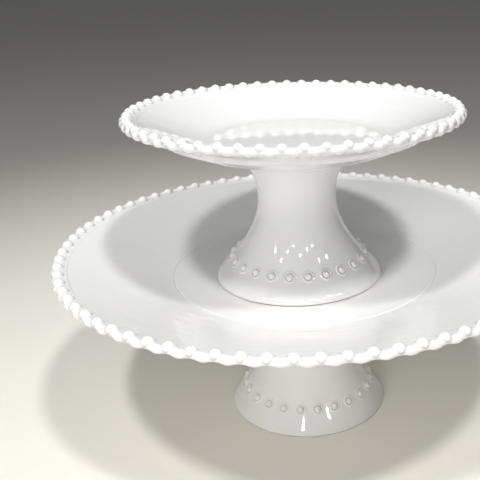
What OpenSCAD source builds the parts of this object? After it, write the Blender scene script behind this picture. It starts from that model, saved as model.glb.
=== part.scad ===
// Two-tier glazed stoneware cake stand: two footed plates, the smaller one standing on the larger one.
// Millimetres, +Z up. Origin: centre of the lower stand's foot, on the surface it stands on.

/* [Lower stand] */
// Outside diameter over the rim pearls
lower_diameter = 340; // [300:5:360]
// Height of the rim pearls' centres above the table
lower_rim_height = 127; // [110:1:145]
// Height of the flat well, where the upper stand is put down
lower_well_height = 105.5; // [90:0.5:120]
// Diameter of the fine ring that marks the edge of the well
lower_well_diameter = 184; // [150:2:210]
// Diameter of the foot
lower_foot_diameter = 117; // [100:1:130]
// Diameter of the pedestal's neck
lower_neck_diameter = 54; // [44:1:70]
// Number of pearls on the rim
lower_rim_count = 78; // [60:2:100]
// Diameter of a rim pearl
lower_rim_pearl = 7.8; // [6:0.2:10]

/* [Upper stand] */
// Outside diameter over the rim pearls
upper_diameter = 220; // [200:5:240]
// Height of the rim pearls' centres above the stand's own foot
upper_rim_height = 113.5; // [100:0.5:130]
// Height of the flat well above the stand's own foot
upper_well_height = 94; // [80:0.5:110]
// Diameter of the flat well
upper_well_diameter = 120; // [100:2:140]
// Diameter of the foot
upper_foot_diameter = 115; // [100:1:130]
// Diameter of the pedestal's neck
upper_neck_diameter = 51.6; // [44:0.2:70]
// Number of pearls on the rim
upper_rim_count = 58; // [40:2:80]
// Diameter of a rim pearl
upper_rim_pearl = 7.4; // [6:0.2:10]

/* [Where the upper stand is put down] */
// Offset from the lower stand's axis to the right
upper_x = -4; // [-20:1:20]
// Offset from the lower stand's axis to the back
upper_y = -8; // [-20:1:20]

/* [Body] */
// Thickness of a plate's floor
floor_thickness = 8; // [6:0.5:12]
// Thickness of a plate's sloping wall, measured upright
wall_thickness = 6; // [5:0.5:9]
// Thickness of a pedestal's wall at the neck
neck_wall = 5; // [4:0.5:8]
// Number of pearls round a pedestal
foot_count = 24; // [16:1:32]
// Diameter of a pedestal pearl
foot_pearl = 5.2; // [4:0.2:7]

/* [Hidden] */
$fn = 96;

// A cutting or joining shape reaches this far past what it cuts or joins.
reach_past = 1;

// Rolled edge of a plate, on which the rim pearls sit. Its centre lies inside and below theirs.
edge_radius = 2.4;
edge_inset = 1.2;
edge_drop = 2.2;
// Flat underside of a plate's floor, as a share of the well's radius.
floor_share = 0.8;
// Step on the underside of a plate, as a share of its radius, and how deep it is.
step_share = 0.82;
step_depth = 1.6;
// Radius of the soft bend between a plate's floor and wall.
bend_radius = 50;
// Fine ring round the lower well. Its cutter is tall enough to come out above the bend.
line_width = 1;
line_depth = 0.4;
line_cutter = 5;

// Skirt below a pedestal's pearls: height of its top, inset there, how far it leans in from upright,
// and points round its rolled edge.
skirt_height = 14.5;
skirt_inset = 11.5;
skirt_lean = 42;
skirt_points = 3;
// Standing ring of bare clay: height, inset from the foot's edge, width and worn edge.
bare_height = 0.8;
bare_inset = 1;
bare_width = 6;
bare_chamfer = 0.5;
// Lip of a pedestal's hollow, inside the ring of bare clay.
lip_width = 0.6;
// Height of the neck, as a share of the pedestal's height.
neck_share = 0.63;
// Ring of slip that joins a pedestal to its plate.
slip_height = 1.2;
slip_spread = 1.6;

// Raised ring round each pedestal pearl, and how far the pearl is sunk.
halo_radius = 3.1;
halo_wire = 0.75;
pearl_sink = 0.5;
pearl_tilt = 40;

lower_pedestal_height = lower_well_height - floor_thickness - slip_height;
upper_pedestal_height = upper_well_height - floor_thickness - slip_height;

// Outline of the flare: the circle that touches the neck and passes through the skirt's top edge.
function neck_height(h) = h * neck_share;
function flare_radius(h, foot_r, neck_r) =
    (pow(foot_r - skirt_inset - neck_r, 2) + pow(neck_height(h) - skirt_height, 2))
    / (2 * (foot_r - skirt_inset - neck_r));
function flare_at(h, foot_r, neck_r, z, grow = 0) =
    neck_r + flare_radius(h, foot_r, neck_r)
    - sqrt(pow(flare_radius(h, foot_r, neck_r) + grow, 2) - pow(z - neck_height(h), 2));

// Half section of a plate, rising from its well to its rolled edge.
module plate_section(edge_r, rim_z, well_r, well_z) {
    slope = (rim_z - well_z) / (edge_r - well_r);
    angle = atan(slope);
    reach = bend_radius * tan(angle / 2);
    step_r = edge_r * step_share;
    under_z = well_z - wall_thickness;
    lift = wall_thickness - step_depth;
    polygon([
        [0, well_z - floor_thickness],
        [well_r * floor_share, well_z - floor_thickness],
        [well_r, under_z],
        [step_r, under_z + slope * (step_r - well_r)],
        [step_r + step_depth, well_z - lift + slope * (step_r + step_depth - well_r)],
        [edge_r, rim_z - lift],
        [edge_r, rim_z],
        [well_r, well_z],
        [0, well_z]
    ]);
    translate([edge_r, rim_z - edge_drop]) circle(edge_radius);
    difference() {
        polygon([
            [well_r - reach, well_z - reach_past],
            [well_r, well_z - reach_past],
            [well_r + reach * cos(angle), well_z + reach * sin(angle)],
            [well_r - reach, well_z + bend_radius]
        ]);
        translate([well_r - reach, well_z + bend_radius]) circle(bend_radius);
    }
}

// Radius of the skirt's rolled edge, which turns from upright into the skirt's straight slope.
function skirt_radius() =
    ((skirt_height - bare_height) * tan(skirt_lean) - skirt_inset) / (1 / cos(skirt_lean) - 1);

// Half section of a pedestal: a hollow flare on a leaning skirt.
module pedestal_section(h, foot_r, neck_r) {
    r = flare_radius(h, foot_r, neck_r);
    axis_r = neck_r + r;
    neck_z = neck_height(h);
    edge_r = skirt_radius();
    slope = tan(skirt_lean);
    mouth_r = foot_r - bare_inset - bare_width - lip_width;
    hollow_r = flare_at(h, foot_r, neck_r, skirt_height, neck_wall);
    difference() {
        polygon([
            [0, bare_height],
            for (i = [0 : skirt_points])
                let (a = i * skirt_lean / skirt_points)
                    [foot_r - edge_r + edge_r * cos(a), bare_height + edge_r * sin(a)],
            [foot_r - skirt_inset - reach_past * slope, skirt_height + reach_past],
            [axis_r, skirt_height + reach_past],
            [axis_r, h],
            [0, h]
        ]);
        translate([axis_r, neck_z]) circle(r);
        difference() {
            polygon([
                [-reach_past, 0],
                [mouth_r, 0],
                [mouth_r, bare_height],
                [mouth_r - lip_width, 2 * bare_height],
                [hollow_r, skirt_height + reach_past],
                [hollow_r, h + reach_past],
                [-reach_past, h + reach_past]
            ]);
            translate([axis_r, neck_z]) circle(r + neck_wall);
        }
    }
}

module plate(diameter, pearl, rim_z, well_d, well_z) {
    rotate_extrude() plate_section(diameter / 2 - pearl / 2 - edge_inset, rim_z, well_d / 2, well_z);
}

module pedestal(h, foot_d, neck_d) {
    rotate_extrude() pedestal_section(h, foot_d / 2, neck_d / 2);
}

// A ring of rim pearls, cut to sit on the plate's edge.
module rim_pearls(diameter, pearl, rim_z, well_d, well_z, count) {
    difference() {
        for (i = [0 : count - 1])
            rotate([0, 0, i * 360 / count])
                translate([diameter / 2 - pearl / 2, 0, rim_z]) sphere(d = pearl);
        plate(diameter, pearl, rim_z, well_d, well_z);
    }
}

// A ring of pearls, each in a raised ring, cut to sit on the pedestal.
module foot_pearls(h, foot_d, neck_d) {
    difference() {
        for (i = [0 : foot_count - 1])
            rotate([0, 0, (i + 0.5) * 360 / foot_count])
                translate([foot_d / 2 - skirt_inset, 0, skirt_height])
                    rotate([0, pearl_tilt, 0]) {
                        translate([0, 0, -pearl_sink]) sphere(d = foot_pearl);
                        rotate_extrude() translate([halo_radius, 0]) circle(halo_wire);
                    }
        pedestal(h, foot_d, neck_d);
    }
}

// Ring of slip between the top of a pedestal and the underside of its plate.
module slip_ring(h, foot_d, neck_d) {
    outer = flare_at(h, foot_d / 2, neck_d / 2, h);
    inner = flare_at(h, foot_d / 2, neck_d / 2, h, neck_wall);
    translate([0, 0, h]) rotate_extrude() polygon([
        [inner, 0],
        [outer, 0],
        [outer + slip_spread, slip_height],
        [inner - slip_spread / 2, slip_height]
    ]);
}

// Ring of bare clay that the stand rests on.
module bare_ring(foot_d) {
    outer = foot_d / 2 - bare_inset;
    rotate_extrude() polygon([
        [outer - bare_width, 0],
        [outer - bare_chamfer, 0],
        [outer, bare_height],
        [outer - bare_width, bare_height]
    ]);
}

module on_lower_well() {
    translate([upper_x, upper_y, lower_well_height]) children();
}

module lower_plate() {
    color([0.93, 0.93, 0.91]) difference() {
        plate(lower_diameter, lower_rim_pearl, lower_rim_height, lower_well_diameter, lower_well_height);
        rotate_extrude()
            translate([lower_well_diameter / 2 - line_width / 2, lower_well_height - line_depth])
                square([line_width, line_cutter]);
    }
}

module lower_rim_pearls() {
    color([0.95, 0.94, 0.9])
        rim_pearls(lower_diameter, lower_rim_pearl, lower_rim_height, lower_well_diameter, lower_well_height,
            lower_rim_count);
}

module lower_pedestal() {
    color([0.93, 0.93, 0.91]) pedestal(lower_pedestal_height, lower_foot_diameter, lower_neck_diameter);
}

module lower_pedestal_pearls() {
    color([0.95, 0.94, 0.9]) foot_pearls(lower_pedestal_height, lower_foot_diameter, lower_neck_diameter);
}

module lower_slip_joint() {
    color([0.9, 0.9, 0.88]) slip_ring(lower_pedestal_height, lower_foot_diameter, lower_neck_diameter);
}

module lower_foot_ring() {
    color([0.86, 0.82, 0.75]) bare_ring(lower_foot_diameter);
}

module upper_plate() {
    color([0.93, 0.93, 0.91]) on_lower_well()
        plate(upper_diameter, upper_rim_pearl, upper_rim_height, upper_well_diameter, upper_well_height);
}

module upper_rim_pearls() {
    color([0.95, 0.94, 0.9]) on_lower_well()
        rim_pearls(upper_diameter, upper_rim_pearl, upper_rim_height, upper_well_diameter, upper_well_height,
            upper_rim_count);
}

module upper_pedestal() {
    color([0.93, 0.93, 0.91]) on_lower_well()
        pedestal(upper_pedestal_height, upper_foot_diameter, upper_neck_diameter);
}

module upper_pedestal_pearls() {
    color([0.95, 0.94, 0.9]) on_lower_well()
        foot_pearls(upper_pedestal_height, upper_foot_diameter, upper_neck_diameter);
}

module upper_slip_joint() {
    color([0.9, 0.9, 0.88]) on_lower_well()
        slip_ring(upper_pedestal_height, upper_foot_diameter, upper_neck_diameter);
}

module upper_foot_ring() {
    color([0.86, 0.82, 0.75]) on_lower_well() bare_ring(upper_foot_diameter);
}

lower_plate();
lower_rim_pearls();
lower_slip_joint();
lower_pedestal();
lower_pedestal_pearls();
lower_foot_ring();
upper_plate();
upper_rim_pearls();
upper_slip_joint();
upper_pedestal();
upper_pedestal_pearls();
upper_foot_ring();
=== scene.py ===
# %% [markdown]
# # A two-tier cake stand in white glazed stoneware
# The real thing is two footed plates, the small one simply standing in the middle of the large one.
# Each is moulded clay: a shallow plate with a row of pearls on its rim, joined with slip to a flared,
# hollow pedestal that has a second row of pearls, and dipped in a glossy white glaze that is wiped off
# only where the foot stands.
#
# This lesson builds every surface from numbers. A turned shape is a profile carried round an axis, and
# the beaded rims are found as the skin of a distance field, so that the pearls melt into the edge as
# glazed clay does. Everything is in metres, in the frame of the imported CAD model.

# %% Load the frame
import math

import bpy
import numpy as np
from mathutils import Matrix, Vector


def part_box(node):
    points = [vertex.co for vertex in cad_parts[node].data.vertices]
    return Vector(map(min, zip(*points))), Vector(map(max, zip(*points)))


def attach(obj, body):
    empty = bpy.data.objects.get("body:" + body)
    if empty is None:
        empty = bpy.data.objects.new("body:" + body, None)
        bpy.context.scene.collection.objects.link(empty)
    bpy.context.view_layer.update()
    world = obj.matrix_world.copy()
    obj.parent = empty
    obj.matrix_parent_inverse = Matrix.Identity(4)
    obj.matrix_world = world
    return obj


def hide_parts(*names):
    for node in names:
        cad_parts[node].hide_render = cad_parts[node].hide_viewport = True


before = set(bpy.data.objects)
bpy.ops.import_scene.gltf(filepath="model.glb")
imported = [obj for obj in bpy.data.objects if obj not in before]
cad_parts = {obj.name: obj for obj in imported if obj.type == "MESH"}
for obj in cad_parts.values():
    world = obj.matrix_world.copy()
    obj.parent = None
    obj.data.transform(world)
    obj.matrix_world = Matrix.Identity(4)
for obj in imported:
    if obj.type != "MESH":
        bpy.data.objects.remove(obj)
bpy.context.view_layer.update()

MM = 0.001
TURN = 2 * math.pi

# %% [markdown]
# ## Sizes
# The CAD model fixes how big everything is and where it stands. Each stand's sizes are read from the
# boxes of its CAD nodes, so the looks stay right if the design is resized. Only what a box can't tell,
# such as how many pearls there are, is repeated here.

# %% Read both stands' sizes from the frame
FLOOR_THICKNESS = 8.0
# The rolled edge's middle lies this far inside and below the middles of the rim pearls.
EDGE_INSET = 1.2
EDGE_DROP = 2.2
# The skirt's top: its height, and how far it lies inside the foot's edge.
SKIRT_HEIGHT = 14.5
SKIRT_INSET = 11.5
FOOT_PEARLS = 24


def box_mm(node):
    """Lowest and highest corner of a CAD node in millimetres."""
    low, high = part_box(node)
    return np.array(low) / MM, np.array(high) / MM


def read_stand(name, pearl, count, well_radius, neck_radius):
    """One stand's sizes in millimetres, with heights above its own foot."""
    pearls_low, pearls_high = box_mm(name + "_rim_pearls")
    plate_low, _ = box_mm(name + "_plate")
    ring_low, ring_high = box_mm(name + "_foot_ring")
    foot_low, foot_high = box_mm(name + "_pedestal")
    _, slip_high = box_mm(name + "_slip_joint")
    centre = (ring_low + ring_high) / 2
    base = ring_low[2]
    return {
        "name": name,
        "body": name + "_stand",
        "axis": np.array([centre[0], centre[1], base]),
        "radius": (pearls_high[0] - pearls_low[0]) / 2,
        "pearl": pearl,
        "count": count,
        "rim_z": pearls_high[2] - pearl / 2 - base,
        "well_z": plate_low[2] + FLOOR_THICKNESS - base,
        "well_r": well_radius,
        "foot_r": (foot_high[0] - foot_low[0]) / 2,
        "foot_z": foot_low[2] - base,
        "neck_r": neck_radius,
        "top_z": foot_high[2] - base,
        "slip_z": slip_high[2] - base,
        "ring_r": (ring_high[0] - ring_low[0]) / 2,
    }


LOWER = read_stand("lower", pearl=7.8, count=78, well_radius=92.0, neck_radius=27.0)
UPPER = read_stand("upper", pearl=7.4, count=58, well_radius=60.0, neck_radius=25.8)
for stand in (LOWER, UPPER):
    stand["edge_r"] = stand["radius"] - stand["pearl"] / 2 - EDGE_INSET
    print({key: np.round(value, 1) for key, value in stand.items() if key not in ("name", "body")})

# %% [markdown]
# ## Turning a grid into a mesh
# Every piece here is a grid of points with two directions. A direction that runs round closes on
# itself, and a profile that ends on the axis closes in a single point, a pole. Building the faces from
# index arrays keeps seams and poles closed, and the sign of the enclosed volume tells whether the
# faces point outwards.

# %% Grid faces, poles and outward normals


def ring_faces(rows, columns, close_rows=False):
    """Quads between neighbouring points of a grid whose columns run round and close on themselves."""
    last = rows if close_rows else rows - 1
    row = np.arange(last)[:, None]
    column = np.arange(columns)[None, :]
    next_row = (row + 1) % rows
    next_column = (column + 1) % columns
    corners = (
        row * columns + column,
        row * columns + next_column,
        next_row * columns + next_column,
        next_row * columns + column,
    )
    return np.stack([corner.ravel() for corner in corners], axis=1)


def fan_faces(ring_start, columns, pole):
    """Triangles from a pole to a closed ring of points."""
    column = np.arange(columns)
    following = (column + 1) % columns
    return np.stack([ring_start + following, ring_start + column, np.full(columns, pole)], axis=1)


def enclosed_volume(points, triangles):
    """Sum of the signed volumes of the tetrahedra between the origin and each triangle."""
    a, b, c = (points[triangles[:, k]] for k in range(3))
    return float(np.einsum("ij,ij->i", a, np.cross(b, c)).sum() / 6)


def make_piece(name, points_mm, quads, triangles=None):
    """A smooth-shaded mesh object at the origin from points in millimetres, with its faces outwards."""
    points = np.asarray(points_mm, float) * MM
    middle = points.mean(axis=0)
    triangles = np.zeros((0, 3), int) if triangles is None else triangles
    halves = np.concatenate([quads[:, [0, 1, 2]], quads[:, [0, 2, 3]], triangles])
    if enclosed_volume(points - middle, halves) < 0:
        quads = quads[:, ::-1]
        triangles = triangles[:, ::-1]
    mesh = bpy.data.meshes.new(name)
    mesh.from_pydata(points.tolist(), [], quads.tolist() + triangles.tolist())
    mesh.polygons.foreach_set("use_smooth", np.ones(len(mesh.polygons), bool))
    mesh.update()
    piece = bpy.data.objects.new(name, mesh)
    bpy.context.scene.collection.objects.link(piece)
    print(f"{name}: {len(points)} points, {len(halves)} triangles")
    return piece


def add_attribute(piece, name, values):
    """One number for each point of a piece, for a material to read."""
    layer = piece.data.attributes.new(name, "FLOAT", "POINT")
    layer.data.foreach_set("value", np.asarray(values, np.float32).ravel())


# %% [markdown]
# ## Soft steps
# Clay and glaze have no sharp bends. Two curves do all the softening: a soft ramp, which is zero, then
# bends into a straight slope, and a smooth step, which eases from 0 to 1 between two radii.

# %% Soft ramp, smooth step and bump


def soft_ramp(x, width):
    """width times the logarithm of 1 + e^(x / width): 0 far below zero and x far above it."""
    return width * np.logaddexp(0, x / width)


def smooth_step(x, start, end):
    """3t^2 - 2t^3, where t goes from 0 at start to 1 at end."""
    t = np.clip((x - start) / (end - start), 0, 1)
    return t * t * (3 - 2 * t)


def ridge(x, centre, width):
    """A bell-shaped ridge, e^-((x - centre) / width)^2."""
    return np.exp(-(((x - centre) / width) ** 2))


# %% [markdown]
# ## The plate's surface
# A jiggered plate is pressed by a turning tool, so its section is one smooth line and its surface keeps
# faint rings from the tool. Firing then warps it a little: the rim rises and falls by a few tenths of a
# millimetre, mostly twice in a turn. The height of the plate is therefore a function of radius and
# angle, and the rim uses the same function, so that it follows the warp.

# %% Height of the top and the underside
BEND_WIDTH = 4.0
WALL_THICKNESS = 6.0
# The trimmed step underneath, as a share of the edge's radius, and how deep it is.
STEP_SHARE = 0.82
STEP_DEPTH = 1.6
# Height of the kiln's slow waves at the edge.
WARP = 0.35
# Spacing of the coarse and the fine tool rings, and the height of the coarse ones.
TOOL_RING = 9.5
FINE_RING = 5.3
TOOL_DEPTH = 0.011


def wall_slope(stand):
    """Rise of the plate's wall for each millimetre of radius."""
    return (stand["rim_z"] - stand["well_z"]) / (stand["edge_r"] - stand["well_r"])


def warp(stand, r, angle):
    """Warp in the kiln: (radius / edge radius)^2 times two slow waves round the plate."""
    wave = np.cos(2 * angle + 0.6) + 0.4 * np.cos(3 * angle - 1.1)
    return WARP * (r / stand["edge_r"]) ** 2 * wave


def tool_rings(stand, r, angle):
    """Faint rings left by the tool: a sine of the radius, its centre drifting slowly round the plate."""
    drift = r + 1.6 * np.cos(angle - 0.8) + 0.9 * np.cos(2 * angle + 2.0)
    fade = smooth_step(r, 12, 40) * (1 - smooth_step(r, stand["edge_r"] - 12, stand["edge_r"] - 5))
    coarse = np.sin(TURN * drift / TOOL_RING)
    fine = np.sin(TURN * drift / FINE_RING + 1.0)
    return TOOL_DEPTH * fade * (coarse + 0.3 * fine)


def top_height(stand, r):
    """Flat well, then a soft ramp up to the rim at a constant slope."""
    return stand["well_z"] + wall_slope(stand) * soft_ramp(r - stand["well_r"], BEND_WIDTH)


def thickness(stand, r):
    """Thick floor, thinner wall, and a step down where the outside was trimmed."""
    step_r = STEP_SHARE * stand["edge_r"]
    thin = (FLOOR_THICKNESS - WALL_THICKNESS) * smooth_step(r, 0.6 * stand["well_r"], stand["well_r"] + 6)
    return FLOOR_THICKNESS - thin - STEP_DEPTH * smooth_step(r, step_r - 0.7, step_r + 0.7)


# %% [markdown]
# ## Turning a profile
# A plate's section goes from its axis underneath, out to the edge, over it and back to the axis on top.
# A pedestal's section is a closed loop round its wall. `turn` carries either round the axis: each point
# of the profile becomes a ring of points, and a small function of radius and angle lifts them.

# %% Carry a profile round the axis


def turn(stand, name, profile, columns, lift=None, closed=False):
    """Point (r, z) of the profile goes to (r cos a, r sin a, z + lift) for each angle a.

    lift is a function of radius, angle and the profile's third column. A closed profile is a loop
    round a wall, and an open one starts and ends on the axis, in two poles.
    """
    angle = TURN * np.arange(columns) / columns
    inner = profile if closed else profile[1:-1]
    r = inner[:, 0][:, None]
    z = inner[:, 1][:, None] + np.zeros(columns)
    if lift is not None:
        z = z + lift(r, angle[None, :], inner[:, 2][:, None])
    points = np.stack([r * np.cos(angle), r * np.sin(angle), z], axis=2).reshape(-1, 3)
    quads = ring_faces(len(inner), columns, close_rows=closed)
    triangles = None
    if not closed:
        poles = np.array([[0, 0, profile[0, 1]], [0, 0, profile[-1, 1]]])
        last_ring = (len(inner) - 1) * columns
        triangles = np.concatenate(
            [
                fan_faces(0, columns, len(points)),
                fan_faces(last_ring, columns, len(points) + 1)[:, ::-1],
            ]
        )
        points = np.concatenate([points, poles])
    return make_piece(name, points + stand["axis"], quads, triangles)


# %% [markdown]
# ## The two plates
# The large plate has one extra detail: a fine ring pressed into the well, which shows where the small
# stand is meant to go. It is cut as real geometry, about a millimetre wide, because a shadow in a
# groove is what makes it visible on white. The edge stops short of the rim, since the beaded rim
# covers it.

# %% Plates
TOP_POINTS = 190
UNDER_POINTS = 90
PLATE_COLUMNS = 300
# The pressed ring's depth and width, and the low lip that the tool pushed up outside it.
GROOVE_DEPTH = 0.3
GROOVE_WIDTH = 0.5
LIP_SHARE = 0.3
LIP_OFFSET = 1.1
# The plate ends this far inside the rolled edge's middle, hidden in the beaded rim.
TUCK = 0.9


def plate_profile(stand, groove):
    """Radius, height, and 1 on top or 0 underneath, from the axis below to the axis on top."""
    end = stand["edge_r"] - TUCK
    under_r = np.linspace(0, end, UNDER_POINTS)
    under_z = top_height(stand, under_r) - thickness(stand, under_r)
    top_r = np.linspace(end, 0, TOP_POINTS)
    if groove:
        fine = np.linspace(stand["well_r"] - 2, stand["well_r"] + 2, 40)
        top_r = np.sort(np.concatenate([top_r, fine]))[::-1]
    top_z = top_height(stand, top_r)
    if groove:
        lip = LIP_SHARE * ridge(top_r, stand["well_r"] + LIP_OFFSET, GROOVE_WIDTH)
        top_z = top_z - GROOVE_DEPTH * (ridge(top_r, stand["well_r"], GROOVE_WIDTH) - lip)
    under = np.stack([under_r, under_z, np.zeros_like(under_r)], axis=1)
    top = np.stack([top_r, top_z, np.ones_like(top_r)], axis=1)
    return np.concatenate([under, top])


def make_plate(stand, groove):
    """A plate, lifted by its warp and, on top only, by the rings of the tool."""

    def lift(r, angle, on_top):
        return warp(stand, r, angle) + on_top * tool_rings(stand, r, angle)

    profile = plate_profile(stand, groove)
    return turn(stand, stand["name"] + "_plate_glazed", profile, PLATE_COLUMNS, lift)


plates = {
    "lower": make_plate(LOWER, groove=True),
    "upper": make_plate(UPPER, groove=False),
}

# %% [markdown]
# ## The beaded rims
# On the real plate the pearls are part of the mould, and the glaze runs into the corners between them,
# so each pearl swells out of a rolled edge without a seam. Spheres set on a ring would show hard
# creases there.
#
# A distance field gives the melted look. It says how far any point is from the clay: one distance to
# the rolled edge, which is a rounded strip, and one to the nearest pearl, which is a slightly flattened
# ball. The strip is fuller between the pearls and slimmer below them, so the edge's lower line waves. A
# smooth minimum blends the two where they are nearly equal. The skin is then found by walking in from
# outside along a ray from each point of the strip's middle line, by the distance that is left, for all
# rays at once.

# %% Distance fields
# The strip's outer end beyond the edge's radius, its length inwards and the radius of its rounding.
STRIP_OUT = 1.5
STRIP_LENGTH = 6.7
STRIP_RADIUS = 2.34
# How much fuller the strip is between two pearls and how much slimmer below one.
SCALLOP_FULL = 0.55
SCALLOP_SLIM = 0.75
# A pearl's half sizes as shares of its radius: outwards, upwards and along the rim.
PEARL_SHAPE = (0.88, 0.8, 0.9)
# A pearl's middle from the strip's outer end.
PEARL_OUT = -0.9
PEARL_UP = 1.75
# Distances that differ by less than this melt into each other.
BLEND = 1.6


def smooth_min(a, b, k):
    """The smaller of a and b, less k h^2 / 4, where h = 1 - |a - b| / k and is never below 0. Also h."""
    h = np.clip(1 - np.abs(a - b) / k, 0, 1)
    return np.minimum(a, b) - k * h * h / 4, h


def rim_distance(x, y, along, pearl_x, pearl_y, pearl_r, gap):
    """Distance to the strip, a capsule in the section, blended with the distance to the nearest pearl.

    The capsule's radius changes only on its outer, lower side, by how far round the gap the point is.
    The pearl is a ball seen in coordinates divided by its shape: q (q - 1) over the length of q's slope.
    """
    lower_side = smooth_step(0.7 * x - 0.7 * y, -0.6, 2.2)
    swell = (SCALLOP_FULL + SCALLOP_SLIM) * gap - SCALLOP_SLIM
    strip = np.hypot(x - np.clip(x, -STRIP_LENGTH, 0), y) - STRIP_RADIUS - swell * lower_side
    half = [pearl_r * share for share in PEARL_SHAPE]
    offset = (x - pearl_x, y - pearl_y, along)
    q = np.sqrt(sum((o / h) ** 2 for o, h in zip(offset, half)))
    slope = np.sqrt(sum((o / h**2) ** 2 for o, h in zip(offset, half)))
    pearl = q * (q - 1) / slope
    distance, blend = smooth_min(strip, pearl, BLEND)
    return distance, strip, blend


# %% Rays round the strip


def strip_rays(top=18, outer=30, under=9, inner=4):
    """Start points on the strip's middle line and unit directions.

    The rays go up from it, turn round its outer end, go down from it and turn round its inner end.
    """
    out_top = np.linspace(-STRIP_LENGTH, 0, top, endpoint=False)
    out_under = np.linspace(0, -STRIP_LENGTH, under, endpoint=False)
    start = np.concatenate([out_top, np.zeros(outer), out_under, np.full(inner, -STRIP_LENGTH)])
    heading = np.concatenate(
        [
            np.full(top, math.pi / 2),
            np.linspace(math.pi / 2, -math.pi / 2, outer, endpoint=False),
            np.full(under, -math.pi / 2),
            -math.pi / 2 - np.linspace(0, math.pi, inner, endpoint=False),
        ]
    )
    return start, np.cos(heading), np.sin(heading)


# %% Find the skin
COLUMNS_PER_PEARL = 20
# Each ray starts this far out and walks in by most of the distance that is left.
FARTHEST = 9.0
WALK_STEPS = 60
WALK_SHARE = 0.9
# Pearls differ a little: the spread of their places in millimetres and of their radii as a share.
PEARL_SHIFT = 0.06
PEARL_SPREAD = 0.012
# The usual pearl's radius is this much under the CAD model's, so that the largest stays inside it.
PEARL_SHRINK = 0.05
# Keeps a ray off the very middle of a pearl, where its slope is nothing over nothing.
OFF_MIDDLE = 1e-6


def pearl_wobble(count, index):
    """Three random numbers for each column, the same for all the columns of one pearl."""
    draws = np.random.default_rng(7).normal(size=(3, count + 1))
    draws[:, count] = draws[:, 0]
    return draws[:, index.astype(int)]


def make_rim(stand):
    """The skin of the rim's distance field, one column of rays for each small step round the rim."""
    count = stand["count"]
    columns = count * COLUMNS_PER_PEARL
    angle = TURN * np.arange(columns) / columns
    index = np.round(angle / (TURN / count))
    along = (angle - index * TURN / count) * (stand["radius"] - stand["pearl"] / 2) + OFF_MIDDLE
    gap = 0.5 - 0.5 * np.cos(count * angle)
    wobble = pearl_wobble(count, index)
    pearl_x = PEARL_OUT + PEARL_SHIFT * wobble[0]
    pearl_y = PEARL_UP + PEARL_SHIFT * wobble[1]
    pearl_r = stand["pearl"] / 2 * (1 + PEARL_SPREAD * wobble[2]) - PEARL_SHRINK
    start, step_x, step_y = (values[:, None] for values in strip_rays())
    far = np.full((len(start), columns), FARTHEST)
    for _ in range(WALK_STEPS):
        left, _, _ = rim_distance(start + far * step_x, far * step_y, along, pearl_x, pearl_y, pearl_r, gap)
        far = far - WALK_SHARE * left
    x = start + far * step_x
    y = far * step_y
    _, strip, blend = rim_distance(x, y, along, pearl_x, pearl_y, pearl_r, gap)
    x = x + STRIP_OUT
    tilt = math.atan(wall_slope(stand))
    r = stand["edge_r"] + x * math.cos(tilt) - y * math.sin(tilt)
    z = stand["rim_z"] - EDGE_DROP + x * math.sin(tilt) + y * math.cos(tilt)
    z = z + warp(stand, stand["edge_r"], angle)
    points = np.stack([r * np.cos(angle), r * np.sin(angle), z], axis=2).reshape(-1, 3) + stand["axis"]
    quads = ring_faces(len(start), columns, close_rows=True)
    piece = make_piece(stand["name"] + "_beaded_rim", points, quads)
    # Glaze runs thin high on a pearl, away from the strip, and pools in the corner where the two melt; that
    # corner is also greyed as painted shade in the crease.
    add_attribute(piece, "glaze_thin", smooth_step(strip, 0.6, 2.6))
    add_attribute(piece, "glaze_pool_and_painted_shade", smooth_step(blend, 0.6, 1.0))
    return piece


rims = {"lower": make_rim(LOWER), "upper": make_rim(UPPER)}

# %% [markdown]
# ## The pedestals
# Each pedestal is cast hollow. Outside it is a slender curve that spreads to a skirt, close to a
# parabola about the neck, with a rolled edge at the foot. Inside it follows the outside at the
# thickness of the wall. The parabola's outline is easy to control by three things: the neck, the
# height of the neck, and the radius at the skirt's top.

# %% Outline of the pedestal
NECK_SHARE = 0.67
NECK_WALL = 5.0
# The wall grows by this much towards the foot, between these heights.
FOOT_THICKENING = 2.2
THICK_BELOW = 6.0
THIN_ABOVE = 30.0
# Softness of the foot's rolled edge, and how far it stays inside the foot's radius.
EDGE_SOFTNESS = 0.9
EDGE_CLEARANCE = 0.4
# From the foot's edge in to the mouth of the hollow.
MOUTH_INSET = 8.2
OUTSIDE_POINTS = 90
INSIDE_POINTS = 60


def flare_radius(stand, z):
    """Neck radius plus a constant times the square of the height from the neck."""
    neck_z = NECK_SHARE * stand["top_z"]
    spread = stand["foot_r"] - SKIRT_INSET - stand["neck_r"]
    return stand["neck_r"] + spread * ((z - neck_z) / (neck_z - SKIRT_HEIGHT)) ** 2


def outline_radius(stand, z):
    """The flare above the skirt's top and its tangent line below, which a soft ramp bends round the edge."""
    neck_z = NECK_SHARE * stand["top_z"]
    spread = stand["foot_r"] - SKIRT_INSET - stand["neck_r"]
    lean = 2 * spread / (neck_z - SKIRT_HEIGHT)
    below = stand["foot_r"] - SKIRT_INSET + lean * (SKIRT_HEIGHT - z)
    radius = np.where(z > SKIRT_HEIGHT, flare_radius(stand, z), below)
    return stand["foot_r"] - soft_ramp(stand["foot_r"] - radius - EDGE_CLEARANCE, EDGE_SOFTNESS)


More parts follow.
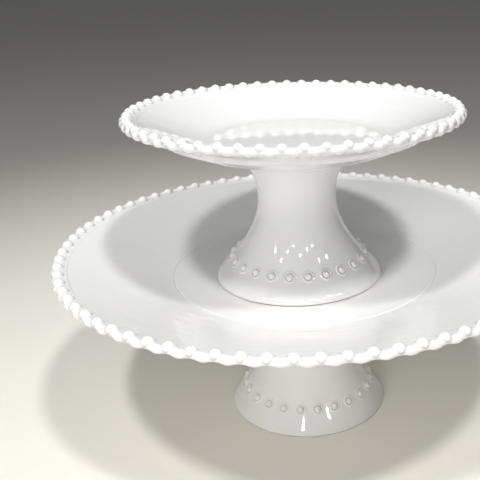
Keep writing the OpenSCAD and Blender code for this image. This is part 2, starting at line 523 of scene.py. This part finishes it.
def pedestal_profile(stand):
    """Radius and height round the wall: up the outside, across the top, down the inside and under the lip."""
    low, high = stand["foot_z"], stand["top_z"]
    up = low + (high - low) * np.linspace(0, 1, OUTSIDE_POINTS) ** 1.5
    outside = np.stack([outline_radius(stand, up), up], axis=1)
    outside[0, 0] -= 0.5
    down = np.linspace(high, low + 1.5, INSIDE_POINTS)
    wall = NECK_WALL + FOOT_THICKENING * smooth_step(down, THIN_ABOVE, THICK_BELOW)
    mouth = stand["foot_r"] - MOUTH_INSET
    inside_r = np.minimum(outline_radius(stand, down) - wall, mouth)
    inside = np.stack([inside_r, down], axis=1)
    lip = np.array([[mouth + 0.1, low + 0.5], [mouth + 0.7, low]])
    return np.concatenate([outside, inside, lip])


# %% Pedestals
PEDESTAL_COLUMNS = 260


def make_pedestal(stand):
    """The pedestal's hollow wall, a closed loop carried round the axis."""
    name = stand["name"] + "_pedestal_glazed"
    return turn(stand, name, pedestal_profile(stand), PEDESTAL_COLUMNS, closed=True)


pedestals = {"lower": make_pedestal(LOWER), "upper": make_pedestal(UPPER)}

# %% [markdown]
# ## The pedestals' pearls
# Round each skirt runs a row of 24 small pearls, and each lies in a raised ring like a button. They are
# shallow, so a height above the pedestal's surface describes one completely: a dome in the middle, a
# soft ring round it, and nothing further out. The height is laid out on a round grid and pushed along
# the surface's own normal, so the pearls lean back with the skirt.

# %% Buttons of pearl and ring
BUTTON_RADIUS = 5.2
PEARL_RADIUS = 2.35
PEARL_HEIGHT = 1.9
RING_RADIUS = 3.45
RING_HEIGHT = 0.62
RING_SPREAD = 0.62
# A button's middle lies this far above the skirt's top, and its back this far inside the wall.
BUTTON_RISE = 0.8
BUTTON_DEPTH = 0.9
BUTTON_RINGS = 20
BUTTON_COLUMNS = 40
# Half the step over which a slope is measured.
NEAR = 0.05


def button_height(q):
    """A dome of elliptical section, a bell-shaped ring round it, and a fall below the surface at the rim."""
    dome = PEARL_HEIGHT * np.sqrt(np.clip(1 - (q / PEARL_RADIUS) ** 2, 0, 1))
    ring = RING_HEIGHT * ridge(q, RING_RADIUS, RING_SPREAD)
    return np.maximum(dome, ring) - 0.06 * smooth_step(q, 4.3, BUTTON_RADIUS) - 0.02


def outline_slope(stand, z):
    """Change of the outline's radius for each millimetre of height."""
    return (outline_radius(stand, z + NEAR) - outline_radius(stand, z - NEAR)) / (2 * NEAR)


def button_grid():
    """Across, up and height of one button's points: rings round its middle, then its top and its back."""
    q = BUTTON_RADIUS * (np.arange(1, BUTTON_RINGS + 1) / BUTTON_RINGS)
    round_angle = TURN * np.arange(BUTTON_COLUMNS) / BUTTON_COLUMNS
    across = q[:, None] * np.cos(round_angle)
    up_slope = q[:, None] * np.sin(round_angle)
    height = button_height(q)[:, None] + np.zeros(BUTTON_COLUMNS)
    across = np.concatenate([across.ravel(), [0, 0]])
    up_slope = np.concatenate([up_slope.ravel(), [0, 0]])
    height = np.concatenate([height.ravel(), [button_height(0.0), -BUTTON_DEPTH]])
    return across, up_slope, height


def button_faces(size):
    """Quads and pole triangles of all the buttons, each with size points."""
    quads = ring_faces(BUTTON_RINGS, BUTTON_COLUMNS)
    top = fan_faces(0, BUTTON_COLUMNS, size - 2)
    bottom = fan_faces((BUTTON_RINGS - 1) * BUTTON_COLUMNS, BUTTON_COLUMNS, size - 1)[:, ::-1]
    offsets = (np.arange(FOOT_PEARLS) * size)[:, None, None]
    quads = (quads[None] + offsets).reshape(-1, 4)
    triangles = (np.concatenate([top, bottom])[None] + offsets).reshape(-1, 3)
    return quads, triangles


# %% Rows of buttons


def make_foot_pearls(stand):
    """Each button's points are laid on the outline, turned round the axis and pushed out by their height."""
    across, up_slope, height = button_grid()
    middle_z = SKIRT_HEIGHT + BUTTON_RISE
    z = middle_z + up_slope / math.hypot(1, outline_slope(stand, middle_z))
    r = outline_radius(stand, z)
    slope = outline_slope(stand, z)
    normal_r = 1 / np.hypot(1, slope)
    normal_z = -slope * normal_r
    middle = (np.arange(FOOT_PEARLS)[:, None] + 0.5) * TURN / FOOT_PEARLS
    angle = middle + (across / r)[None, :]
    out = (r + height * normal_r)[None, :]
    tall = (z + height * normal_z)[None, :] + 0 * angle
    points = np.stack([out * np.cos(angle), out * np.sin(angle), tall], axis=2).reshape(-1, 3) + stand["axis"]
    quads, triangles = button_faces(len(z))
    piece = make_piece(stand["name"] + "_pedestal_pearl_row", points, quads, triangles)
    thin = smooth_step(height, 0.7, 1.9)
    # The groove between the dome and its raised ring is greyed: pooled glaze and painted shade.
    pool_and_shade = smooth_step(height, 0.35, 0.0) * (np.hypot(across, up_slope) < RING_RADIUS)
    add_attribute(piece, "glaze_thin", np.tile(thin, FOOT_PEARLS))
    add_attribute(piece, "glaze_pool_and_painted_shade", np.tile(pool_and_shade, FOOT_PEARLS))
    return piece


foot_pearls = {"lower": make_foot_pearls(LOWER), "upper": make_foot_pearls(UPPER)}

# %% [markdown]
# ## The slip joints
# The potter sticks the pedestal to the plate with slip, liquid clay, and wipes the squeezed-out bead
# into a small hollow curve. Its section is a quarter of an ellipse cut out of a corner.

# %% Coves of slip
COVE_RADIUS = 2.6
# The cove is this much wider than tall, stands this proud of the wall and rises into the plate.
COVE_WIDEN = 1.25
COVE_PROUD = 0.1
COVE_RISE = 1.2


def make_slip(stand):
    """A ring whose section runs from the pedestal's side to the plate along a quarter of an ellipse."""
    side = outline_radius(stand, stand["top_z"] - COVE_RADIUS)
    turn_angle = np.linspace(0, math.pi / 2, 12)
    cove_r = side + COVE_RADIUS * COVE_WIDEN * (1 - np.cos(turn_angle)) + COVE_PROUD
    cove_z = stand["top_z"] - COVE_RADIUS + (COVE_RADIUS + COVE_RISE) * np.sin(turn_angle)
    inside = side - NECK_WALL
    top = stand["slip_z"] + 0.25
    back = np.array(
        [
            [cove_r[-1] + 0.2, top],
            [inside, top],
            [inside - 0.9, stand["slip_z"] - 0.3],
            [inside + 1.0, stand["top_z"] - COVE_RADIUS],
        ]
    )
    loop = np.concatenate([np.stack([cove_r, cove_z], axis=1), back])
    return turn(stand, stand["name"] + "_slip_cove", loop, PEDESTAL_COLUMNS, closed=True)


slips = {"lower": make_slip(LOWER), "upper": make_slip(UPPER)}

# %% [markdown]
# ## The bare foot rings
# A glazed pot would stick to the kiln shelf, so the glaze is wiped off the ring it stands on. What
# remains is a narrow, flat band of bare clay with corners worn soft.

# %% Rings of bare clay
RING_CORNER = 0.3
RING_WIDTH = 6.0
# The ring reaches this far up into the pedestal's foot.
RING_TUCK = 0.35


def make_foot_ring(stand):
    """A ring of rectangular section whose corners are quarter circles."""
    outer = stand["ring_r"]
    inner = outer - RING_WIDTH
    top = stand["foot_z"] + RING_TUCK
    corners = (
        (outer - RING_CORNER, RING_CORNER, -math.pi / 2),
        (outer - RING_CORNER, top - RING_CORNER, 0),
        (inner + RING_CORNER, top - RING_CORNER, math.pi / 2),
        (inner + RING_CORNER, RING_CORNER, math.pi),
    )
    sweep = np.linspace(0, math.pi / 2, 5)
    arcs = [
        np.stack([r + RING_CORNER * np.cos(start + sweep), z + RING_CORNER * np.sin(start + sweep)], axis=1)
        for r, z, start in corners
    ]
    loop = np.concatenate(arcs)
    return turn(stand, stand["name"] + "_bare_foot", loop, PEDESTAL_COLUMNS, closed=True)


foot_rings = {"lower": make_foot_ring(LOWER), "upper": make_foot_ring(UPPER)}

# %% [markdown]
# ## Materials
# Colours are written as people read them, as sRGB hex values, and one function turns them to the linear
# values that shaders use. A second small function adds a node with its settings and links, so a
# material reads as a list of what it is made of.

# %% Colour and node helpers


def linear(hex_colour):
    """sRGB hex to linear RGBA: c / 12.92 below 0.04045, otherwise ((c + 0.055) / 1.055)^2.4."""
    parts = [int(hex_colour[k : k + 2], 16) / 255 for k in (1, 3, 5)]
    return tuple(c / 12.92 if c <= 0.04045 else ((c + 0.055) / 1.055) ** 2.4 for c in parts) + (1.0,)


def new_material(name):
    """An empty node material and its tree."""
    material = bpy.data.materials.new(name)
    material.use_nodes = True
    material.node_tree.nodes.clear()
    return material, material.node_tree


# The sockets of a Mix node that mixes colours: it has an A, a B and a result for each kind of value.
MIX_A = 6
MIX_B = 7
MIXED = 2


def add(tree, kind, settings=None, links=None, values=None):
    """Adds a node, sets its properties and input values, and links inputs to other nodes' outputs."""
    node = tree.nodes.new(kind)
    for key, value in (settings or {}).items():
        setattr(node, key, value)
    for key, value in (values or {}).items():
        node.inputs[key].default_value = value
    for key, source in (links or {}).items():
        tree.links.new(source, node.inputs[key])
    return node


# %% [markdown]
# ### White tin glaze on stoneware
# A glossy opaque white glaze is a skin of glass about half a millimetre thick, made white by tiny
# crystals. Three things tell the eye that it is glaze and not plastic: reflections that are sharp but
# gently wavy, because the glass flowed and froze; a colour that is never quite even, cooler where the
# glaze is thick and warmer where the clay shows through; and very small dimples. The waves are about
# 14 mm across and the dimples about 2 mm.

# %% Glaze
GLAZE_IOR = 1.52
WAVE_MM = 14.0
WAVE_DEPTH_MM = 0.16
DIMPLE_MM = 2.2
DIMPLE_DEPTH_MM = 0.012
CLOUD_MM = 60.0
# How much rougher the glaze is in the lightest clouds.
ROUGHER = 0.04


def scale_of(size_mm):
    """Noise scale whose features are about size_mm across, for coordinates in metres."""
    return 1 / (size_mm * MM)


def glaze_bump(tree, coordinates):
    """Slow waves and fine dimples, each a bump with its own depth."""
    wave = add(
        tree,
        "ShaderNodeTexNoise",
        links={"Vector": coordinates},
        values={"Scale": scale_of(WAVE_MM), "Detail": 1.0},
    )
    dimple = add(
        tree,
        "ShaderNodeTexNoise",
        links={"Vector": coordinates},
        values={"Scale": scale_of(DIMPLE_MM), "Detail": 2.0},
    )
    slow = add(
        tree,
        "ShaderNodeBump",
        links={"Height": wave.outputs["Fac"]},
        values={"Strength": 1.0, "Distance": WAVE_DEPTH_MM * MM},
    )
    return add(
        tree,
        "ShaderNodeBump",
        links={"Height": dimple.outputs["Fac"], "Normal": slow.outputs["Normal"]},
        values={"Strength": 1.0, "Distance": DIMPLE_DEPTH_MM * MM},
    )


# %% Glaze that runs thin and pools, with painted shade in the creases
PATCH_MM = 35.0
# A grey for pooled glaze, made dark enough to paint the shade in the creases round the pearls.
POOL_AND_SHADE_COLOUR = "#C9C9C8"


def break_glaze_and_shade_creases(tree, coordinates, colour, warm):
    """The colour turns warmer in patches where the glaze runs thin, and greyer where it has pooled, a grey
    that also paints the shade in the creases.
    """
    thin_here = add(tree, "ShaderNodeAttribute", {"attribute_name": "glaze_thin"}).outputs["Fac"]
    pool_and_shade_here = add(tree, "ShaderNodeAttribute", {"attribute_name": "glaze_pool_and_painted_shade"}).outputs["Fac"]
    patch = add(
        tree,
        "ShaderNodeTexNoise",
        links={"Vector": coordinates},
        values={"Scale": scale_of(PATCH_MM), "Detail": 2.0},
    )
    uneven = add(
        tree,
        "ShaderNodeMapRange",
        links={"Value": patch.outputs["Fac"]},
        values={"From Min": 0.4, "From Max": 0.65},
    )
    amount = add(
        tree, "ShaderNodeMath", {"operation": "MULTIPLY"}, links={0: thin_here, 1: uneven.outputs["Result"]}
    )
    warmer = add(
        tree,
        "ShaderNodeMix",
        {"data_type": "RGBA"},
        links={"Factor": amount.outputs["Value"], MIX_A: colour},
        values={MIX_B: linear(warm)},
    )
    cooler = add(
        tree,
        "ShaderNodeMix",
        {"data_type": "RGBA"},
        links={"Factor": pool_and_shade_here, MIX_A: warmer.outputs[MIXED]},
        values={MIX_B: linear(POOL_AND_SHADE_COLOUR)},
    )
    return cooler.outputs[MIXED]


# %% The three glazes


def glaze_material(name, thick, thin, gloss, warm=None):
    """A white glaze, cloudy between two whites, with wavy sharp reflections.

    Where a warm colour is given, the piece says where its glaze is thin and where it has pooled, which is
    also greyed as painted shade in the creases.
    """
    material, tree = new_material(name)
    coordinates = add(tree, "ShaderNodeTexCoord").outputs["Object"]
    cloud = add(
        tree,
        "ShaderNodeTexNoise",
        links={"Vector": coordinates},
        values={"Scale": scale_of(CLOUD_MM), "Detail": 3.0},
    )
    body = add(
        tree,
        "ShaderNodeMix",
        {"data_type": "RGBA"},
        links={"Factor": cloud.outputs["Fac"]},
        values={MIX_A: linear(thick), MIX_B: linear(thin)},
    )
    colour = body.outputs[MIXED]
    if warm:
        colour = break_glaze_and_shade_creases(tree, coordinates, colour, warm)
    rough = add(
        tree,
        "ShaderNodeMapRange",
        links={"Value": cloud.outputs["Fac"]},
        values={"To Min": gloss, "To Max": gloss + ROUGHER},
    )
    bump = glaze_bump(tree, coordinates)
    shader = add(
        tree,
        "ShaderNodeBsdfPrincipled",
        links={"Base Color": colour, "Roughness": rough.outputs["Result"], "Normal": bump.outputs["Normal"]},
        values={"IOR": GLAZE_IOR},
    )
    add(tree, "ShaderNodeOutputMaterial", links={"Surface": shader.outputs["BSDF"]})
    print(f"{name}: {len(tree.nodes)} nodes")
    return material


white_glaze = glaze_material("tin_white_glaze", "#EEEEEE", "#F4F3F1", gloss=0.025)
pearl_glaze_with_crease_shade = glaze_material("tin_white_glaze_breaking_with_crease_shade", "#EEEEEE", "#F5F3F0", gloss=0.025, warm="#F4F0E6")
slip_glaze = glaze_material("tin_white_glaze_on_slip", "#E6E6E2", "#EEEDE8", gloss=0.14)

# %% [markdown]
# ### Bare fired stoneware
# Unglazed stoneware is matt, warm and sandy. Its grit is under half a millimetre, so a fine noise gives
# both the speckle and the tooth, and a coarser one gives the toasted patches from the flame.

# %% Bare clay
GRIT_MM = 0.5
TOASTED_MM = 18.0
TOOTH_DEPTH_MM = 0.1


def clay_material():
    """Sandy fired clay: patchy warm colour with fine dark grit and a rough, toothed surface."""
    material, tree = new_material("bare_fired_stoneware")
    coordinates = add(tree, "ShaderNodeTexCoord").outputs["Object"]
    toasted = add(
        tree,
        "ShaderNodeTexNoise",
        links={"Vector": coordinates},
        values={"Scale": scale_of(TOASTED_MM), "Detail": 4.0},
    )
    grit = add(
        tree,
        "ShaderNodeTexNoise",
        links={"Vector": coordinates},
        values={"Scale": scale_of(GRIT_MM), "Detail": 2.0},
    ).outputs["Fac"]
    body = add(
        tree,
        "ShaderNodeMix",
        {"data_type": "RGBA"},
        links={"Factor": toasted.outputs["Fac"]},
        values={MIX_A: linear("#CDBFA8"), MIX_B: linear("#E0D6C4")},
    )
    speck = add(
        tree, "ShaderNodeMapRange", links={"Value": grit}, values={"From Min": 0.6, "From Max": 0.72}
    )
    sandy = add(
        tree,
        "ShaderNodeMix",
        {"data_type": "RGBA"},
        links={"Factor": speck.outputs["Result"], MIX_A: body.outputs[MIXED]},
        values={MIX_B: linear("#8E7C66")},
    )
    bump = add(
        tree,
        "ShaderNodeBump",
        links={"Height": grit},
        values={"Strength": 0.8, "Distance": TOOTH_DEPTH_MM * MM},
    )
    shader = add(
        tree,
        "ShaderNodeBsdfPrincipled",
        links={"Base Color": sandy.outputs[MIXED], "Normal": bump.outputs["Normal"]},
        values={"Roughness": 0.85, "IOR": 1.5},
    )
    add(tree, "ShaderNodeOutputMaterial", links={"Surface": shader.outputs["BSDF"]})
    print(f"{material.name}: {len(tree.nodes)} nodes")
    return material


bare_clay = clay_material()

# %% [markdown]
# ## Joining the pieces to the frame
# Each piece rides on its own stand's body, takes the place of the CAD node it refines, which is hidden,
# and gets its finish. The CAD nodes are all plain stand-ins, so all twelve are replaced.

# %% Ride, replace and paint


def fit(piece, stand, node, material):
    """A piece moves with its stand, takes the place of a CAD node and gets its finish."""
    piece.data.materials.append(material)
    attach(piece, stand["body"])
    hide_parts(stand["name"] + "_" + node)


for stand in (LOWER, UPPER):
    name = stand["name"]
    fit(plates[name], stand, "plate", white_glaze)
    fit(rims[name], stand, "rim_pearls", pearl_glaze_with_crease_shade)
    fit(pedestals[name], stand, "pedestal", white_glaze)
    fit(foot_pearls[name], stand, "pedestal_pearls", pearl_glaze_with_crease_shade)
    fit(slips[name], stand, "slip_joint", slip_glaze)
    fit(foot_rings[name], stand, "foot_ring", bare_clay)

# %% [markdown]
# ## The set
# A plain, pale, slightly warm floor runs far enough back to fill the view. It is kept a good step darker
# than the glaze, because white needs something less white round it to be seen. Its colour is also painted
# pale under the stands and greyer with distance, painted shade that stands in for the light falling off.

# %% Floor
FLOOR_SIZE = 14.0
# Distances from the middle between which the painted falloff turns the floor from pale to grey.
PALE_RADIUS = 0.2
GREY_RADIUS = 1.0
MOTTLE_SCALE = 9.0


def paper_material():
    """Matt paper with the faintest mottle, painted from pale to grey between two distances from the middle as
    a falloff of light.
    """
    material, tree = new_material("matt_warm_paper_painted_falloff")
    coordinates = add(tree, "ShaderNodeTexCoord").outputs["Object"]
    mottle = add(
        tree,
        "ShaderNodeTexNoise",
        links={"Vector": coordinates},
        values={"Scale": MOTTLE_SCALE, "Detail": 4.0},
    )
    tone = add(
        tree,
        "ShaderNodeMix",
        {"data_type": "RGBA"},
        links={"Factor": mottle.outputs["Fac"]},
        values={MIX_A: linear("#EEEAE0"), MIX_B: linear("#F3F0E8")},
    )
    distance = add(tree, "ShaderNodeVectorMath", {"operation": "LENGTH"}, {"Vector": coordinates})
    grey = add(
        tree,
        "ShaderNodeMapRange",
        {"interpolation_type": "SMOOTHSTEP"},
        links={"Value": distance.outputs["Value"]},
        values={"From Min": PALE_RADIUS, "From Max": GREY_RADIUS},
    )
    graded = add(
        tree,
        "ShaderNodeMix",
        {"data_type": "RGBA"},
        links={"Factor": grey.outputs["Result"], MIX_A: tone.outputs[MIXED]},
        values={MIX_B: linear("#A3A19B")},
    )
    shader = add(
        tree,
        "ShaderNodeBsdfPrincipled",
        links={"Base Color": graded.outputs[MIXED]},
        values={"Roughness": 0.75, "IOR": 1.4},
    )
    add(tree, "ShaderNodeOutputMaterial", links={"Surface": shader.outputs["BSDF"]})
    return material


def make_floor():
    """A large flat square."""
    half = FLOOR_SIZE / 2
    corners = [(-half, -half, 0), (half, -half, 0), (half, half, 0), (-half, half, 0)]
    mesh = bpy.data.meshes.new("studio_floor")
    mesh.from_pydata(corners, [], [(0, 1, 2, 3)])
    mesh.materials.append(paper_material())
    sheet = bpy.data.objects.new("studio_floor", mesh)
    bpy.context.scene.collection.objects.link(sheet)
    return sheet


floor = make_floor()
print(f"floor: {FLOOR_SIZE:.0f} m square")

# %% [markdown]
# ## Light
# Two lamps high in front, one on each side, throw two shadows of the small plate onto the large one. They
# overlap behind the pedestal, which is what makes the plates stand apart, white on white. A wide, weak
# soft box, low and to the left in front, opens up the pedestals, which the plates would otherwise leave
# dull, and the world gives even, grey light from everywhere.
#
# None of these is seen in the glaze, because a large lamp would lie on a plate as a hard white patch.
# An arc of small lamps does that part alone: it lights nothing and is only mirrored, as the sharp
# sparkles that a glossy pedestal collects in a shop or a kitchen.

# %% Lamps


def add_lamp(name, place, size, power, aim=(0.0, 0.0, 0.11), mirrored=False):
    """A square area lamp turned to face a point. A mirrored lamp is seen in the glaze and lights nothing."""
    lamp = bpy.data.lights.new(name, "AREA")
    lamp.size = size
    lamp.energy = power
    holder = bpy.data.objects.new(name, lamp)
    bpy.context.scene.collection.objects.link(holder)
    holder.location = place
    holder.rotation_euler = (Vector(aim) - Vector(place)).to_track_quat("-Z", "Y").to_euler()
    holder.visible_glossy = mirrored
    holder.visible_diffuse = not mirrored


add_lamp("left_lamp", (-0.41, -0.77, 1.65), 0.16, 13.4)
add_lamp("right_lamp", (0.41, -0.77, 1.65), 0.16, 13.6)
add_lamp("front_softbox", (-0.5, -1.15, 0.45), 0.6, 6.0)

# %% Sparkles
SPARKLES = 9
SPARKLE_SIZE = 0.06
SPARKLE_POWER = 1.6
SPARKLE_DISTANCE = 1.15
SPARKLE_HEIGHTS = (0.95, 1.3, 1.1)
# The arc's first lamp and the step to the next one, in degrees to the right of straight in front.
SPARKLE_START = -56
SPARKLE_STEP = 15
for spark in range(SPARKLES):
    azimuth = math.radians(SPARKLE_STEP * spark + SPARKLE_START)
    across = SPARKLE_DISTANCE * math.sin(azimuth)
    depth = -SPARKLE_DISTANCE * math.cos(azimuth)
    place = (across, depth, SPARKLE_HEIGHTS[spark % len(SPARKLE_HEIGHTS)])
    add_lamp(f"sparkle_{spark}", place, SPARKLE_SIZE, SPARKLE_POWER, mirrored=True)
print(f"3 lamps that light and {SPARKLES} that are only mirrored")

# %% Even light from the room


def add_room_light(horizon, ceiling, strength):
    """The world's colour goes from the horizon's to the ceiling's with the height of the direction."""
    world = bpy.data.worlds.new("soft_room")
    world.use_nodes = True
    tree = world.node_tree
    tree.nodes.clear()
    direction = add(tree, "ShaderNodeTexCoord").outputs["Generated"]
    height = add(tree, "ShaderNodeSeparateXYZ", links={"Vector": direction}).outputs["Z"]
    rise = add(
        tree,
        "ShaderNodeMapRange",
        {"interpolation_type": "SMOOTHSTEP"},
        links={"Value": height},
        values={"From Min": 0.05, "From Max": 0.75},
    )
    colour = add(
        tree,
        "ShaderNodeMix",
        {"data_type": "RGBA"},
        links={"Factor": rise.outputs["Result"]},
        values={MIX_A: linear(horizon), MIX_B: linear(ceiling)},
    )
    light = add(
        tree, "ShaderNodeBackground", links={"Color": colour.outputs[MIXED]}, values={"Strength": strength}
    )
    add(tree, "ShaderNodeOutputWorld", links={"Surface": light.outputs["Background"]})
    bpy.context.scene.world = world


add_room_light("#7B7B79", "#E6E7E8", 0.34)
bpy.context.scene.view_settings.view_transform = "Standard"

# %% [markdown]
# ## Camera
# The view is from close by and a little above, as someone sees a cake stand on a counter. The lens is
# turned down by about 23 degrees, and a small shift of the lens puts the stand where it belongs in the
# frame.

# %% Camera
# Lens and sensor in millimetres, place in metres, angles in radians, shifts as shares of the frame.
LENS = 53.96
SENSOR = 36.0
CAMERA_PLACE = (0.0, -0.4732, 0.3067)
PITCH_DOWN = 0.4098
YAW = -0.0256
ROLL = -0.0205
SHIFT_X = -0.1708
SHIFT_Y = 0.0654

camera = bpy.data.cameras.new("counter_view")
camera.lens = LENS
camera.sensor_width = SENSOR
camera.shift_x = SHIFT_X
camera.shift_y = SHIFT_Y
camera.clip_start = 0.01
viewer = bpy.data.objects.new("counter_view", camera)
bpy.context.scene.collection.objects.link(viewer)
heading = Matrix.Rotation(YAW, 4, "Z") @ Matrix.Rotation(math.pi / 2 - PITCH_DOWN, 4, "X")
viewer.matrix_world = Matrix.Translation(CAMERA_PLACE) @ heading @ Matrix.Rotation(ROLL, 4, "Z")
bpy.context.scene.camera = viewer
print(f"camera: {LENS} mm lens, {math.degrees(PITCH_DOWN):.1f} degrees down")
